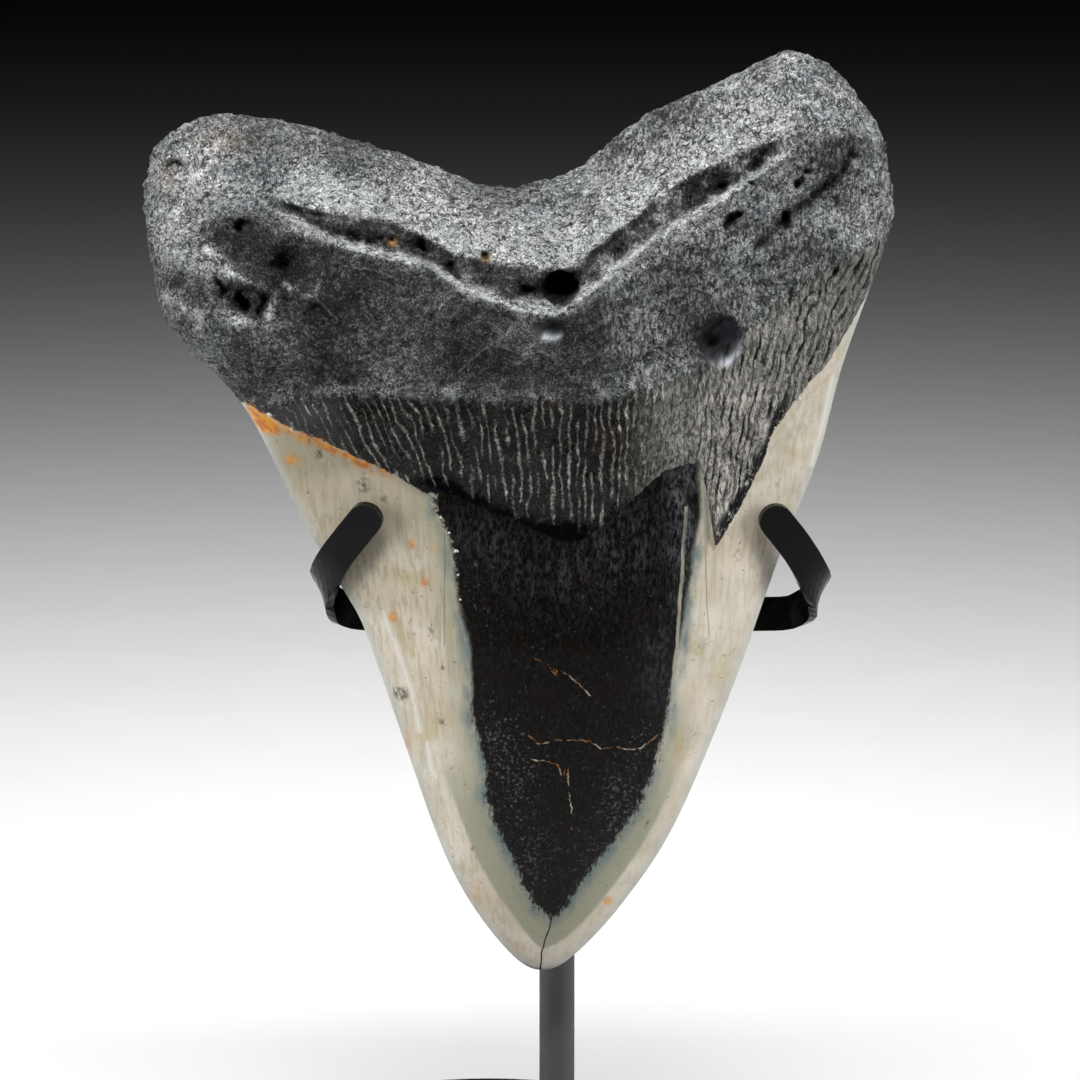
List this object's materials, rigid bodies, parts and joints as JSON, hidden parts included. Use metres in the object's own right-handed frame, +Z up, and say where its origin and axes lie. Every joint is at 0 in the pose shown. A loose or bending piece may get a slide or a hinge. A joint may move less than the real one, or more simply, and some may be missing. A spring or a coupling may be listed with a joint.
{
  "type": "megalodon tooth on display stand",
  "caption": "Large fossil shark tooth, dark root above a pale polished crown, held tip down in two metal hooks on a post with a round wooden foot.",
  "frame": {"origin": "centre of the base's flat underside", "axes": "+Z up along the post; the tooth's bulging lingual face looks towards -Y, the post stands behind it towards +Y, and +X is to the viewer's right"},
  "size_m": [0.1301, 0.076, 0.2081],
  "materials": {
    "fossil": "granular dark root, glossy polished cream and black crown",
    "strap_paint": "gloss black",
    "post_paint": "matte black",
    "base_wood": "dark lacquered wood"
  },
  "bodies": {
    "root": {"tooth": "fossil", "left_arm": "strap_paint", "right_arm": "strap_paint", "post": "post_paint", "base": "base_wood"}
  },
  "joints": []
}
